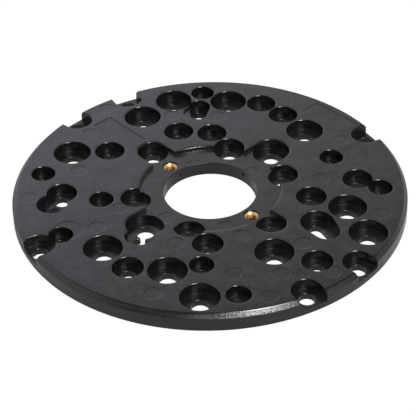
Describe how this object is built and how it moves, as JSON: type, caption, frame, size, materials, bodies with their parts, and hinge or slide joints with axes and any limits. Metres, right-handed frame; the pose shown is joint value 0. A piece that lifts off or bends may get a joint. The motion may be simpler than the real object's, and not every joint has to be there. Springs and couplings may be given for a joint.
{
  "type": "router sub base",
  "caption": "Round moulded router base plate with a bore in a sunk bush seat, stepped screw wells, rim notches and threaded brass inserts.",
  "frame": {"origin": "centre of the bore at the flat router face, which the plate rests on", "axes": "+Z along the bore's axis, out of the work face; +X to the right and +Y away from the picture's camera"},
  "size_m": [0.17, 0.17, 0.0075],
  "materials": {
    "moulded_plastic": "satin charcoal-black moulded plastic with a fine grain",
    "turned_brass": "bright turned brass"
  },
  "bodies": {
    "root": {"base_plate": "moulded_plastic", "brass_insert_rear": "turned_brass", "brass_insert_front": "turned_brass"}
  },
  "joints": []
}
